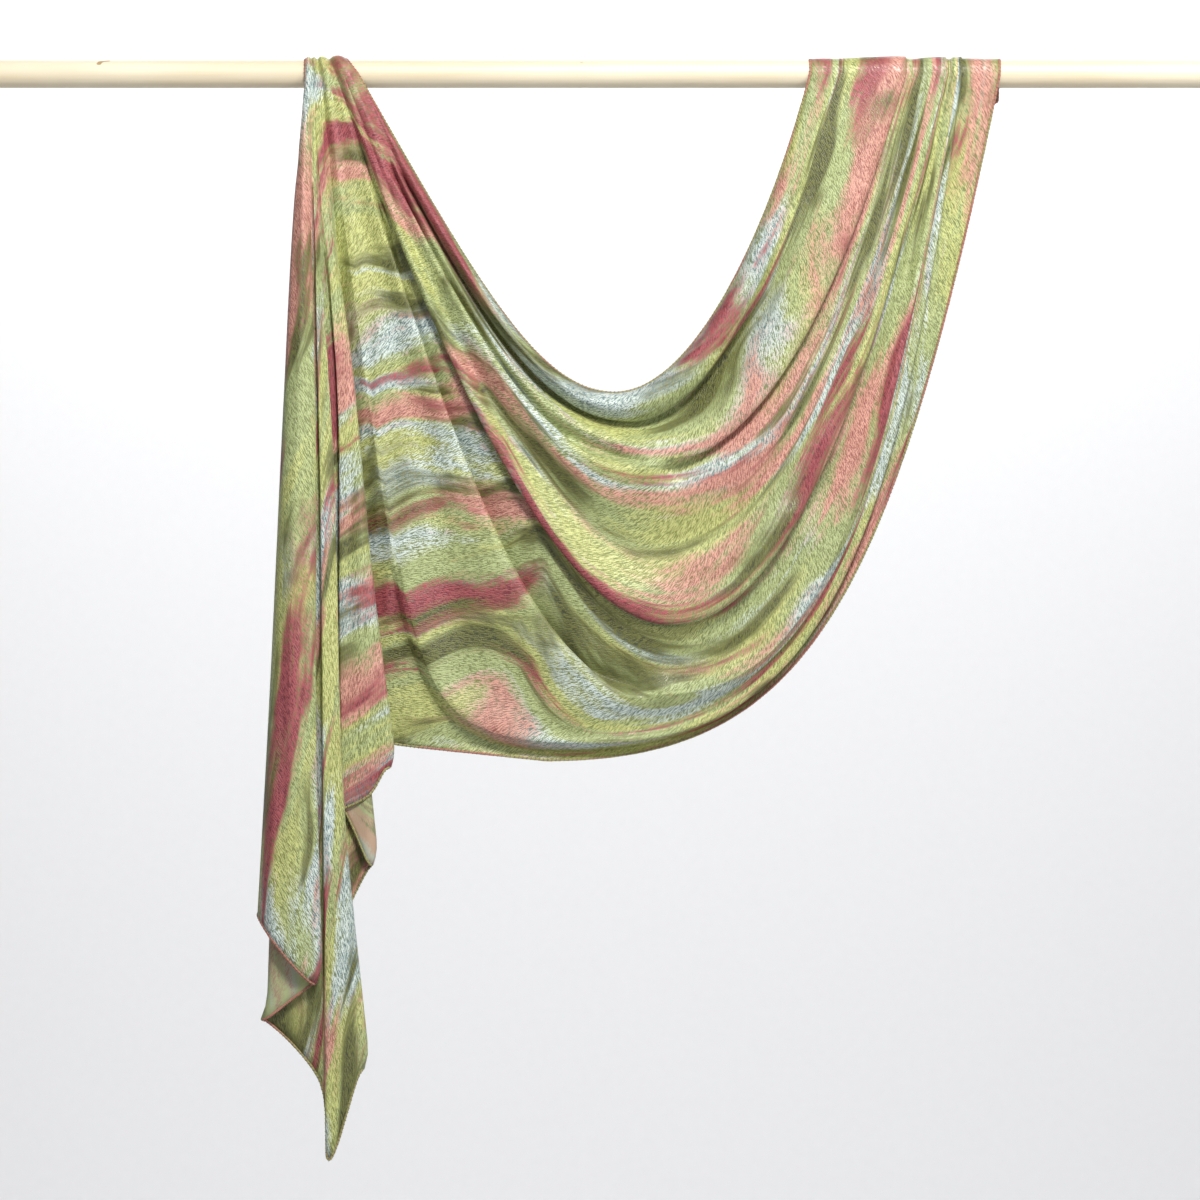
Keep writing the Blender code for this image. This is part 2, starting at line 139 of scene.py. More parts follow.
# The cloth: one rectangle of printed satin crepe, 0.70 by 1.80 m. A point on its upper edge is
# gathered over the rod at the left, its short end is spread in pleats over the rod at the right, and
# the rest falls from the gather as a tail folded zigzag. Nothing but the rod holds it.

CUT_WIDTH = 0.70
CLOTH_THICKNESS = 0.45
ROD_TO_CLOTH = 14.85

GATHER_RIGHT = -243.0
GATHER_MIDDLE = -279.0
GATHER_LEFT = -296.0
GATHER_OPENS_BY = 0.24
# the pleats of the gather where they cross the rod: x, and how far the cloth stands off the rod there
GATHER_PLEATS = ((-296.0, 0.4), (-292.5, 4.0), (-288.2, 1.0), (-285.0, 3.6), (-281.0, 0.0),
                 (-276.5, 4.6), (-271.0, 3.6), (-266.0, 0.0), (-260.0, 5.0), (-252.5, 6.0),
                 (-247.0, 3.6), (-243.0, 0.4))

# how round a fold is, how many more strings each of its hidden layers has, and how much of the room
# beside it a fold takes where it is flat, tucked under, or turned over
TIGHT_FOLD_RADIUS = 0.75
SOFT_FOLD_RADIUS = 4.0
MORE_IN_FOLD = 2
WIDEST_SPREAD = 5.0
SPREAD_OF_ROOM = 0.4
TUCK_OF_ROOM = 0.84
OVER_OF_ROOM = 0.58

# A place along the swag is 0 at the gather, 1 at its lowest point and 2 on the rod at the right.
SWAG_STEPS_LEFT = 112
SWAG_STEPS_RIGHT = 92
CURVE_STEPS = 1200
SWAG_OPENS = 1.6
SWAG_FOLDS_FROM = 0.14
SWAG_LEVELS_FROM = 1.6
SWAG_BEHIND_TAIL = 8.0
TAIL_OPENS = 3.0
TAIL_FOLDS_FROM = 0.16
FOLD_OPENS_OVER = 0.2

# A row for each line along the swag, from its upper edge to its lower one: a curve from the gather
# down to its lowest point and up to where it lands on the rod.
Line = namedtuple("Line", "name gather low_x low_z land lean_left reach_left flat_left rise pull "
                          "lean_right reach_right flat_right")
SWAG_LINES = [
    Line("upper_hem", -243.0, 15.0, -320.5, 211.0, 0.57, 252.0, 75.0, 0.0, 1.0, 0.26, 160.0, 80.0),
    Line("roll_crest", -246.0, 20.0, -334.0, 222.0, 0.54, 266.0, 78.0, 0.0, 1.0, 0.26, 168.0, 84.0),
    Line("roll_foot", -249.0, 30.0, -349.5, 238.0, 0.50, 280.0, 85.0, 0.0, 1.0, 0.26, 178.0, 88.0),
    Line("pale_panel", -252.5, 40.0, -371.0, 270.0, 0.49, 290.0, 98.0, 0.0, 1.0, 0.27, 200.0, 98.0),
    Line("first_fold", -258.5, 52.0, -394.0, 307.0, 0.49, 305.0, 112.0, 0.0, 1.0, 0.29, 230.0, 110.0),
    Line("second_crest", -261.5, 52.0, -425.5, 316.0, 0.46, 310.0, 110.0, 0.0, 1.0, 0.28, 255.0, 108.0),
    Line("middle_valley", -262.7, 60.0, -474.0, 328.0, 0.42, 318.0, 110.0, 0.0, 1.0, 0.26, 290.0, 106.0),
    Line("third_crest", -263.9, 66.0, -518.0, 338.0, 0.39, 324.0, 110.0, 0.0, 1.0, 0.25, 325.0, 104.0),
    Line("second_fold", -266.5, 72.0, -553.5, 347.0, 0.37, 330.0, 112.0, 0.0, 1.0, 0.235, 368.0, 104.0),
    Line("recess", -268.8, 68.0, -592.0, 351.0, 0.37, 318.0, 130.0, 0.0, 1.0, 0.21, 400.0, 130.0),
    Line("fan_edge", -271.0, 60.0, -623.5, 355.0, 0.37, 305.0, 150.0, 0.0, 1.0, 0.18, 430.0, 165.0),
    Line("fan_valley", -273.2, -10.0, -663.5, 359.0, 0.20, 480.0, 130.0, 0.0, 1.0, 0.15, 490.0, 232.0),
    Line("third_fold", -276.0, -20.0, -676.5, 363.0, 0.13, 560.0, 160.0, 0.0, 2.0, 0.13, 500.0, 235.0),
    Line("lower_hem", -279.0, -54.0, -689.5, 401.0, 0.0872, 675.0, 166.0, 17.0, 12.0, 0.20, 560.0, 254.0),
]

# how far the cloth tucks under itself along each of those lines, its depth at the lowest point, and
# how far it lifts off the rod at the right
Tuck = namedtuple("Tuck", "left low land depth lift")
SWAG_TUCKS = {
    "upper_hem": Tuck(0.0, 0.0, 0.0, -14.0, 0.2),
    "roll_crest": Tuck(0.0, 0.0, 0.0, -29.0, 1.2),
    "roll_foot": Tuck(9.0, 13.0, 0.0, -20.0, 0.8),
    "pale_panel": Tuck(0.0, 0.0, 0.0, -27.0, 3.6),
    "first_fold": Tuck(-26.0, 0.0, 58.0, -37.0, 4.6),
    "second_crest": Tuck(0.0, 0.0, 0.0, -33.0, 0.6),
    "middle_valley": Tuck(0.0, 0.0, 0.0, -23.0, 3.2),
    "third_crest": Tuck(0.0, 0.0, 0.0, -33.0, 3.6),
    "second_fold": Tuck(40.0, 82.0, 40.0, -38.0, 4.1),
    "recess": Tuck(0.0, 0.0, 0.0, -18.0, 0.4),
    "fan_edge": Tuck(-46.0, 0.0, 0.0, -25.0, 3.6),
    "fan_valley": Tuck(0.0, 0.0, 0.0, -12.0, 3.6),
    "third_fold": Tuck(0.0, 5.0, 16.0, -16.0, 4.1),
    "lower_hem": Tuck(0.0, 0.0, 0.0, -1.0, 0.2),
}

# A row for each line down the tail, from beside the swag to the free long edge: x at the gather, at
# three fractions of the way down and at the hem, how far down the hem is, how far the cloth tucks
# under (below 0 it turns back behind what is before it) and down to where, and its depth behind the
# fold and in front.
TailLine = namedtuple("TailLine", "name gather start upper lower hem drop "
                                  "tuck_upper tuck_lower tuck_hem hidden_drop behind depth")
START_PART = 0.12
UPPER_PART = 0.40
LOWER_PART = 0.75
TAIL_LINES = [
    TailLine("right_fold", -280.3, -277.2, -250.0, -225.5, -203.0, 696.0, 36, 62, 68, 686.0, -13.0, -31.0),
    TailLine("right_panel", -280.8, -278.4, -257.5, -246.0, -231.0, 724.0, 0, 0, 0, 724.0, -33.0, -33.0),
    TailLine("hem_flute", -281.4, -279.8, -263.0, -261.0, -259.0, 794.0, -10, -20, -38, 738.0, -26.0,
             -36.0),
    TailLine("front_fold", -282.4, -281.4, -265.5, -254.0, -229.0, 996.5, 24, 46, 58, 913.0, -39.0, -51.0),
    TailLine("tip", -284.8, -284.2, -278.0, -273.0, -270.0, 1087.5, 0, 0, 0, 1087.5, -58.0, -58.0),
    TailLine("valley", -287.0, -286.6, -281.0, -280.5, -279.0, 1007.5, 0, 0, 0, 1007.5, -50.0, -50.0),
    TailLine("left_fold", -288.8, -289.0, -283.0, -282.0, -276.0, 910.5, 24, 38, 56, 946.5, -51.0, -65.0),
    TailLine("left_panel", -291.7, -295.0, -300.0, -307.0, -311.0, 884.5, 0, 0, 0, 884.5, -73.0, -73.0),
    TailLine("outer_fold", -294.6, -302.6, -313.0, -326.0, -338.0, 848.5, 0, 0, 0, 848.5, -60.0, -60.0),
    TailLine("outer_back", -295.4, -302.8, -314.0, -327.0, -338.0, 838.0, 0, 0, 0, 838.0, -26.0, -26.0),
    TailLine("free_edge", -296.0, -293.0, -284.0, -276.0, -274.0, 813.0, 0, 0, 0, 813.0, -5.0, -5.0),
]
TAIL_EVEN_DROP = 800.0

# the corners of the tail's folds are drawn in just above the hem
CORNER_ROUNDING = 6.0
CORNER_LENGTH = 26.0


def ease(part, speed):
    """From 0 to 1, fast at first."""
    return 1.0 - (1.0 - np.clip(part, 0.0, 1.0)) ** speed


def smooth_step(value):
    clipped = np.clip(value, 0.0, 1.0)
    return clipped * clipped * (3.0 - 2.0 * clipped)


def through(places, values, at):
    """A smooth curve through a few values, with the slope at each taken from its neighbours."""
    places = np.array(places)
    values = np.array(values)
    slopes = np.gradient(values, places)
    span = np.clip(np.searchsorted(places, at, side="right") - 1, 0, len(places) - 2)
    length = places[span + 1] - places[span]
    part = (at - places[span]) / length
    rise = values[span + 1] - values[span]
    blend = part * part * (3.0 - 2.0 * part)
    lead_in = part * (1.0 - part) ** 2 * (slopes[span] * length)
    lead_out = part * part * (1.0 - part) * (slopes[span + 1] * length)
    return values[span] + rise * blend + lead_in - lead_out


def gather_lift(x):
    """How far a pleat of the gather stands off the rod."""
    places, heights = zip(*GATHER_PLEATS)
    return np.maximum(through(places, heights, x), 0.0)


def curve_half(start, lean, reach, low, flat, rise, side, pull, steps):
    """Half of a swag line, from the rod to its lowest point, at even steps along it."""
    run = math.hypot(lean, 1.0)
    first = np.array(start)
    second = first + reach * np.array((side * lean, -1.0)) / run
    last = np.array(low)
    third = last + np.array((-side * flat, rise))
    part = np.linspace(0.0, 1.0, CURVE_STEPS)[:, None]
    weights = ((1 - part) ** 3, 3 * pull * part * (1 - part) ** 2,
               3 * pull * part ** 2 * (1 - part), part ** 3)
    fine = sum(w * p for w, p in zip(weights, (first, second, third, last))) / sum(weights)
    along = np.concatenate(([0.0], np.cumsum(np.linalg.norm(np.diff(fine, axis=0), axis=1))))
    stops = np.linspace(0.0, along[-1], steps + 1)
    return np.column_stack([np.interp(stops, along, fine[:, axis]) for axis in (0, 1)])


def swag_curve(line):
    low = (line.low_x, line.low_z)
    left = curve_half((line.gather, 0.0), line.lean_left, line.reach_left, low,
                      line.flat_left, line.rise, 1.0, line.pull, SWAG_STEPS_LEFT)
    right = curve_half((line.land, 0.0), line.lean_right, line.reach_right, low,
                       line.flat_right, 0.0, -1.0, 1.0, SWAG_STEPS_RIGHT)
    return np.vstack((left, right[-2::-1]))


def outward(curve):
    """The direction across a line, towards the swag's lower edge."""
    run = np.gradient(curve, axis=0)
    run /= np.linalg.norm(run, axis=1)[:, None]
    return np.column_stack((run[:, 1], -run[:, 0]))


def fold_strings(tuck, radius, spread, more=0):
    """Across and back offsets of the strings of a fold, which steps back before it turns. Each of
    its two hidden layers can have more strings between its ends."""
    size = np.abs(tuck)
    stepped = smooth_step(size / (1.2 * radius))
    turned = smooth_step((size - 0.8 * radius) / (2.2 * radius))
    under = np.maximum(size - radius, radius)
    none = np.zeros_like(size)
    inner = [radius + (under - radius) * number / (more + 1) for number in range(1, more + 1)]
    across = [radius, none, radius] + inner + [under, under + radius, under] + inner[::-1] + [none]
    back = [0.0, 1.0] + [2.0] * (more + 2) + [3.0] + [4.0] * (more + 2)
    last = len(across) - 1
    for number in range(last + 1):
        offset = np.where(tuck < 0.0, across[last - number], -across[number])
        step = np.where(tuck < 0.0, back[last - number], back[number])
        level = back[-1] * np.where(tuck < 0.0, last - number, number) / last
        flat = 2.0 * number / last - 1.0
        yield ((1.0 - turned) * flat * spread + turned * offset,
               stepped * radius * (turned * step + (1.0 - turned) * level))


def swag_strings():
    """The strings that give the swag its form, each from the gather to the rod at the right."""
    place = np.concatenate((np.linspace(0.0, 1.0, SWAG_STEPS_LEFT + 1),
                            1.0 + np.linspace(0.0, 1.0, SWAG_STEPS_RIGHT + 1)[1:]))
    at_left = place <= 1.0
    hangs_back = SWAG_BEHIND_TAIL * np.where(at_left, np.sin(math.pi * place) ** 2, 0.0)
    curves = np.array([swag_curve(line) for line in SWAG_LINES])
    outwards = np.array([outward(curve) for curve in curves])
    steps_across = np.abs(np.sum(np.diff(curves, axis=0) * outwards[:-1], axis=2))
    places_across = np.vstack((np.zeros(len(place)), np.cumsum(steps_across, axis=0)))
    depths = []
    openings = []
    for line, curve in zip(SWAG_LINES, curves):
        tucks = SWAG_TUCKS[line.name]
        fallen = ease(curve[:, 1] / line.low_z, SWAG_OPENS)
        at_rod = -(ROD_TO_CLOTH + np.where(at_left, gather_lift(line.gather), tucks.lift))
        depths.append(at_rod + (tucks.depth - at_rod) * fallen + hangs_back)
        openings.append(fallen)
    depths = np.array(depths)
    folds = [number for number, line in enumerate(SWAG_LINES) if any(SWAG_TUCKS[line.name][:3])]
    strings = []
    for number, line in enumerate(SWAG_LINES):
        curve = curves[number]
        if number not in folds:
            strings.append(np.column_stack((curve[:, 0], depths[number], curve[:, 1])))
            continue
        tucks = SWAG_TUCKS[line.name]
        tuck = np.interp(place, (0.0, SWAG_FOLDS_FROM, 0.5, 1.0, 1.6, 2.0),
                         (0.0, 0.0, tucks.left, tucks.low, tucks.land, tucks.land))
        tuck = tuck * smooth_step((place - SWAG_FOLDS_FROM) / FOLD_OPENS_OVER)
        two_after = min(number + 2, len(SWAG_LINES) - 1)
        covering = np.where(tuck < 0.0, places_across[two_after], places_across[max(number - 3, 0)])
        room = np.abs(covering - places_across[number])
        room *= np.where(tuck < 0.0, OVER_OF_ROOM, TUCK_OF_ROOM)
        tuck = np.clip(tuck, -room, room)
        spread = SPREAD_OF_ROOM * np.minimum(steps_across[number - 1], steps_across[number])
        spread = np.minimum(spread, WIDEST_SPREAD)
        radius = TIGHT_FOLD_RADIUS + (SOFT_FOLD_RADIUS - TIGHT_FOLD_RADIUS) * openings[number]
        for offset, back in fold_strings(tuck, radius, spread, MORE_IN_FOLD):
            depth = [np.interp(at, places, levels) for at, places, levels
                     in zip(places_across[number] + offset, places_across.T, depths.T)]
            moved = curve + outwards[number] * offset[:, None]
            level = smooth_step((place - SWAG_LEVELS_FROM) / (2.0 - SWAG_LEVELS_FROM))
            moved[:, 1] -= moved[-1, 1] * level
            strings.append(np.column_stack((moved[:, 0], depth + back, moved[:, 1])))
    return strings


def tail_height(part, drop):
    """The height at a part of the way down: even steps at first, stretched to the drop at the hem."""
    return -(TAIL_EVEN_DROP * part + (drop - TAIL_EVEN_DROP) * part ** 3)


def tail_strings(part):
    """The strings that give the tail its form, each from the gather to the hem."""
    fallen = ease(part, TAIL_OPENS)
    opened = smooth_step((part - TAIL_FOLDS_FROM) / FOLD_OPENS_OVER)
    strings = []
    sides = []
    for line in TAIL_LINES:
        height = tail_height(part, line.drop)
        x = through((0.0, START_PART, UPPER_PART, LOWER_PART, 1.0),
                    (line.gather, line.start, line.upper, line.lower, line.hem), -height / line.drop)
        sides.append(x)
    for number, line in enumerate(TAIL_LINES):
        x = sides[number]
        at_rod = -(ROD_TO_CLOTH + gather_lift(line.gather))
        depth = at_rod + (line.depth - at_rod) * fallen
        if not line.tuck_hem:
            strings.append(np.column_stack((x, depth, tail_height(part, line.drop))))
            continue
        before = strings[-1][:, 0] - x if strings else np.full_like(x, 3.0)
        after = x - sides[number + 1]
        spread = np.clip(SPREAD_OF_ROOM * np.minimum(before, after), 0.0, WIDEST_SPREAD)
        tuck = opened * np.interp(part, (0.0, TAIL_FOLDS_FROM, UPPER_PART, LOWER_PART, 1.0),
                                  (0.0, 0.0, line.tuck_upper, line.tuck_lower, line.tuck_hem))
        above_hem = tail_height(part, line.drop) + line.drop
        corner = CORNER_ROUNDING * np.clip(1.0 - above_hem / CORNER_LENGTH, 0.0, 1.0) ** 2
        if line.tuck_hem < 0.0:
            tuck = tuck + corner
        else:
            x = x - corner
        radius = np.maximum((line.behind - line.depth) * fallen / 4.0, TIGHT_FOLD_RADIUS)
        if line.tuck_hem < 0.0:
            drops = (line.hidden_drop,) * 2 + (line.drop,) * 3 + (2.0 * line.drop - line.hidden_drop,)
        else:
            drops = (line.hidden_drop,) * 3 + (line.drop,) * 3
        fold = list(fold_strings(-tuck, radius, spread))[1:]
        for (offset, back), drop in zip(fold, drops):
            strings.append(np.column_stack((x - offset, depth + back, tail_height(part, drop))))
    return strings


def open_from_gather(strings, right, left, part):
    """Start each string at its own place in the gather, and let it run out to its own line."""
    places = np.linspace(right, left, len(strings))
    hold = 1.0 - smooth_step(part / GATHER_OPENS_BY)
    opened = []
    for string, x in zip(strings, places):
        start = np.array((x, -(ROD_TO_CLOTH + float(gather_lift(x))), 0.0))
        opened.append(string + hold[:, None] * (start - string[0]))
    return opened


def even_out(strings, evenness):
    """Slide strings along the cloth until they are evenly apart, where evenness is 1."""
    sheet = np.array(strings)
    count = len(sheet)
    for column, share in enumerate(evenness):
        points = sheet[:, column]
        steps = np.linalg.norm(np.diff(points, axis=0), axis=1)
        along = np.concatenate(([0.0], np.cumsum(steps)))
        stops = (1.0 - share) * along + share * np.linspace(0.0, along[-1], count)
        sheet[:, column] = np.column_stack([np.interp(stops, along, points[:, axis]) for axis in range(3)])
    return sheet


def rounded(strings, widest, most):
    """More strings between the given ones, on a smooth curve across the cloth. Strings hold a
    place in space and after it a place on the flat cut."""
    points = np.array(strings)
    ended = np.concatenate((2 * points[:1] - points[1:2], points, 2 * points[-1:] - points[-2:-1]))
    lengths = np.linalg.norm(np.diff(ended[:, :, :3], axis=0), axis=2)
    knots = np.sqrt(np.maximum(lengths, 0.02))[:, :, None]
    finer = []
    for number in range(len(points) - 1):
        count = int(np.clip(np.ceil(lengths[number + 1].max() / widest), 2, most))
        before, first, second, after = ended[number:number + 4]
        k0, k1, k2 = knots[number:number + 3]
        out = ((first - before) / k0 - (second - before) / (k0 + k1) + (second - first) / k1) * k1
        into = ((second - first) / k1 - (after - first) / (k1 + k2) + (after - second) / k2) * k1
        for part in np.arange(count) / count:
            ease_in = part * part * (3.0 - 2.0 * part)
            finer.append(first + (second - first) * ease_in + out * part * (1.0 - part) ** 2
                         - into * part * part * (1.0 - part))
    finer.append(points[-1])
    return np.array(finer)


def length_along(strings):
    """How far each point of a string is from the string's start."""
    steps = np.linalg.norm(np.diff(strings[:, :, :3], axis=1), axis=2)
    return np.concatenate((np.zeros((len(strings), 1)), np.cumsum(steps, axis=1)), axis=1)


def length_across(strings, column):
    """How far the string is from the first one, as a fraction of the way to the last one."""
    steps = np.linalg.norm(np.diff(strings[:, column], axis=0), axis=1)
    across = np.concatenate(([0.0], np.cumsum(steps)))
    return across / across[-1]


# Where the gather is on the flat cut, and the corner of the swag that lies under the tail's side.
# The pleats of the gather hide cloth, so each millimetre across them is more on the cut.
FLAT_GATHER = np.array((844.0, 0.0))
FLAT_CORNER = np.array((1085.0, 700.0))
HIDDEN_IN_PLEATS = 2.6
PLEATS_OPEN_OVER = 170.0
TAIL_SPREADS_AT = 0.8
FLAT_OPENING = math.atan2(FLAT_CORNER[1], FLAT_CORNER[0] - FLAT_GATHER[0])
UPPER_OPENING = math.radians(158.0)


def in_pleats(strings, run):
    """How far along the cut the pleats of the gather set a point off."""
    beside = (GATHER_MIDDLE - strings[:, :1, 0]) * HIDDEN_IN_PLEATS
    return beside * (1.0 - smooth_step(run / PLEATS_OPEN_OVER))


def swag_on_cut(strings):
    """Places on the flat cut for the swag: out from the gather, then straight along the length."""
    shares = length_across(strings, SWAG_STEPS_LEFT)
    along = length_along(strings)
    flat = []
    for share, run in zip(shares, along):
        below_edge = CUT_WIDTH / MILLIMETRE * share
        angle = UPPER_OPENING + (FLAT_OPENING - UPPER_OPENING) * share
        bend = np.array((FLAT_GATHER[0] + below_edge / math.tan(angle), below_edge))
        first_leg = np.linalg.norm(bend - FLAT_GATHER)
        place = run / run[-1] * (first_leg + bend[0])
        on_first_leg = np.minimum(place / max(first_leg, 1.0), 1.0)[:, None]
        out = FLAT_GATHER + (bend - FLAT_GATHER) * on_first_leg
        out[:, 0] -= np.maximum(place - first_leg, 0.0)
        flat.append(out)
    flat = np.array(flat)
    flat[:, :, 0] += in_pleats(strings, along)
    return np.concatenate((strings, flat), axis=2)


def tail_on_cut(strings):
    """Places on the flat cut for the tail, which opens from the gather like a fan."""
    angles = FLAT_OPENING * (1.0 - length_across(strings, int(TAIL_SPREADS_AT * strings.shape[1])))
    along = length_along(strings)
    flat = np.array([FLAT_GATHER + run[:, None] * np.array((math.cos(angle), math.sin(angle)))
                     for angle, run in zip(angles, along)])
    flat[:, :, 0] += in_pleats(strings, along)
    return np.concatenate((strings, flat), axis=2)


PLEAT_BEHIND = 0.55


def lap_over_rod(fronts, behind, hangs, narrowing, steps, end_steps):
    """Carry each string on over the top of the rod and down behind it. A pleat lies closer to the
    rod behind it than in front."""
    laps = []
    for point, hang, narrower in zip(fronts, hangs, narrowing):
        x, depth = point[:2]
        rows = []
        for turn in np.linspace(0.0, math.pi, steps + 1)[1:]:
            stands_off = PLEAT_BEHIND + (1.0 - PLEAT_BEHIND) * max(math.cos(turn), 0.0)
            reach = ROD_TO_CLOTH - (depth + ROD_TO_CLOTH) * stands_off
            beside = x - narrower * math.sin(min(turn, math.pi / 2))
            rows.append((beside, -reach * math.cos(turn), reach * math.sin(turn)))
        rows += [(x - narrower, reach + behind * part, -hang * part)
                 for part in np.arange(1, end_steps + 1) / end_steps]
        rows = np.array(rows)
        run = np.cumsum(np.linalg.norm(np.diff(np.vstack((point[:3], rows)), axis=0), axis=1))
        laps.append((rows, run))
    return laps


place = np.concatenate((np.arange(SWAG_STEPS_LEFT + 1) / SWAG_STEPS_LEFT,
                        1.0 + np.arange(1, SWAG_STEPS_RIGHT + 1) / SWAG_STEPS_RIGHT))
swag = open_from_gather(swag_strings(), GATHER_RIGHT, GATHER_MIDDLE, place)
swag = even_out(swag, 1.0 - smooth_step(place / SWAG_FOLDS_FROM))
swag = rounded(swag_on_cut(swag), 10.5, 5)

# The tail starts from the swag's last string, down to the corner where that string turns: it falls
# there by less than a third of what it does near the gather.
STEEP_STEP = 10
TURNS_AT = 0.35
TAIL_BESIDE_SEAM = 0.9

seam = swag[-1]
falls = -np.diff(seam[:, 2])
corner = int(np.argmax(falls < TURNS_AT * falls[STEEP_STEP]))
part = np.arange(corner + 1) / corner
tail = open_from_gather(tail_strings(part), GATHER_MIDDLE - TAIL_BESIDE_SEAM, GATHER_LEFT, part)
tail = np.concatenate((seam[None, :corner + 1, :3], np.array(tail)))
tail = even_out(tail, 1.0 - smooth_step(part / TAIL_FOLDS_FROM))
tail = tail_on_cut(tail)
tail[0] = seam[:corner + 1]
tail = rounded(tail, 9.0, 6)

# Where the cloth ends behind the rod: how far it stands off, how far it hangs down, and how much
# longer and shorter its hem is from place to place.
GATHER_NARROWS_BY = 0.22
GATHER_STANDS_OFF = 0.6
GATHER_HANGS = 12.0
GATHER_UNEVEN = 2.0
GATHER_LAP_STEPS = 9
GATHER_LAP_ENDS = 2
END_STANDS_OFF = 2.4
END_HANGS = 30.0
END_UNEVEN = 2.5
END_LAP_STEPS = 11
END_LAP_ENDS = 4


def with_gather_lap(strings):
    """The strings with their first stretch put before them, from the hem behind the rod."""
    count = len(strings)
    hangs = GATHER_HANGS + GATHER_UNEVEN * np.sin(np.arange(count) * 0.21)
    narrowing = GATHER_NARROWS_BY * (strings[:, 0, 0] - GATHER_LEFT)
    laps = lap_over_rod(strings[:, 0], GATHER_STANDS_OFF, hangs, narrowing,
                        GATHER_LAP_STEPS, GATHER_LAP_ENDS)
    made = []
    for string, (rows, run) in zip(strings, laps):
        lap = np.column_stack((rows, np.full_like(run, string[0, 3]), string[0, 4] - run))[::-1]
        made.append(np.vstack((lap, string)))
    return np.array(made)


def with_end_lap(strings):
    """The strings with the short end put after them, hanging behind the rod."""
    across = strings[:, -1, 0]
    hangs = END_HANGS + END_UNEVEN * np.sin(across / 17.0)
    laps = lap_over_rod(strings[:, -1], END_STANDS_OFF, hangs, np.zeros(len(strings)),
                        END_LAP_STEPS, END_LAP_ENDS)
    made = []
    for string, (rows, run) in zip(strings, laps):
        lap = np.column_stack((rows, string[-1, 3] - run, np.full_like(run, string[-1, 4])))
        made.append(np.vstack((string, lap)))
    return np.array(made)


swag = with_end_lap(with_gather_lap(swag))
tail = with_gather_lap(tail)
tail[0] = swag[-1][:tail.shape[1]]

# Soft creases and rolls as they lie in the cloth: points along each in x and z, how wide it
# is, and how far it stands forward, or back where it is below 0.
Crease = namedtuple("Crease", "points width forward")
CREASES = [
    Crease(((-204, -104), (-172, -160), (-113, -253), (-60, -312), (0, -340), (85, -338)), 8.0, -5.0),
    Crease(((-85, -328), (-54, -366), (-15, -411), (7, -425), (79, -425)), 9.0, 3.0),
    Crease(((-263, -30), (-234, -148), (-202, -282), (-166, -430), (-143, -598), (-105, -667)), 14.0, -8.0),
    Crease(((-255, -110), (-222, -240), (-186, -390), (-158, -540), (-150, -640)), 12.0, 5.0),
    Crease(((-265, -40), (-239, -81), (-212, -156), (-182, -231), (-150, -290)), 6.0, -4.5),
    Crease(((-237, -35), (-204, -112), (-182, -166), (-141, -243), (-105, -290)), 6.0, -4.5),
    Crease(((-252, -40), (-222, -98), (-192, -180), (-150, -262)), 7.0, 3.0),
    Crease(((265, -5), (244, -54), (226, -120), (205, -180)), 8.0, 4.0),
    Crease(((330, 30), (298, -75), (271, -155), (243, -217), (190, -319), (150, -372)), 12.0, -6.0),
    Crease(((372, 30), (342, -75), (315, -182), (293, -276), (248, -382), (140, -520)), 11.0, -6.0),
    Crease(((366, -40), (343, -209), (321, -316), (304, -387), (260, -510)), 8.0, -4.5),
    Crease(((345, 20), (318, -85), (291, -182), (262, -282), (214, -372), (130, -470)), 9.0, 4.0),
    Crease(((296, 10), (272, -75), (245, -150), (216, -212), (160, -300)), 9.0, 4.0),
    Crease(((231, -373), (208, -410), (180, -437)), 10.0, -4.0),
    Crease(((229, -402), (218, -428), (206, -448)), 8.0, -3.5),
    Crease(((193, -355), (160, -395), (129, -429)), 9.0, 3.5),
    Crease(((-70, -520), (-30, -562), (20, -600), (80, -618)), 10.0, 3.5),
    Crease(((-110, -560), (-62, -604), (-10, -638)), 12.0, -4.0),
    Crease(((60, -500), (110, -492), (160, -462), (196, -420)), 8.0, 3.0),
    Crease(((100, -560), (160, -530), (210, -470)), 9.0, -3.5),
    Crease(((-30, -660), (60, -668), (140, -640), (210, -585)), 9.0, 2.4),
]
CREASE_POINTS = 40
CREASE_FADES_OVER = 0.25
CREASES_FROM = 40.0


def smooth_path(points, count):
    """Even points on a smooth line through a few."""
    corners = np.array(points, dtype=float)
    reach = np.concatenate(([0.0], np.cumsum(np.linalg.norm(np.diff(corners, axis=0), axis=1))))
    at = np.linspace(0.0, reach[-1], count)
    return np.column_stack([through(reach, corners[:, axis], at) for axis in range(2)])


def press_creases(sheet):
    """Move the sheet forward or back along each crease, fading out at both its ends."""
    seen_from_front = sheet[:, :, (0, 2)]
    forward = np.zeros(sheet.shape[:2])
    for crease in CREASES:
        path = smooth_path(crease.points, CREASE_POINTS)
        gaps = np.linalg.norm(seen_from_front[:, :, None] - path, axis=3)
        nearest = gaps.argmin(axis=2)
        along = nearest / (len(path) - 1)
        fade = smooth_step(along / CREASE_FADES_OVER) * smooth_step((1.0 - along) / CREASE_FADES_OVER)
        forward += crease.forward * fade * np.exp(-(gaps.min(axis=2) / crease.width) ** 2)
    sheet[:, :, 1] -= forward * smooth_step(-sheet[:, :, 2] / CREASES_FROM)


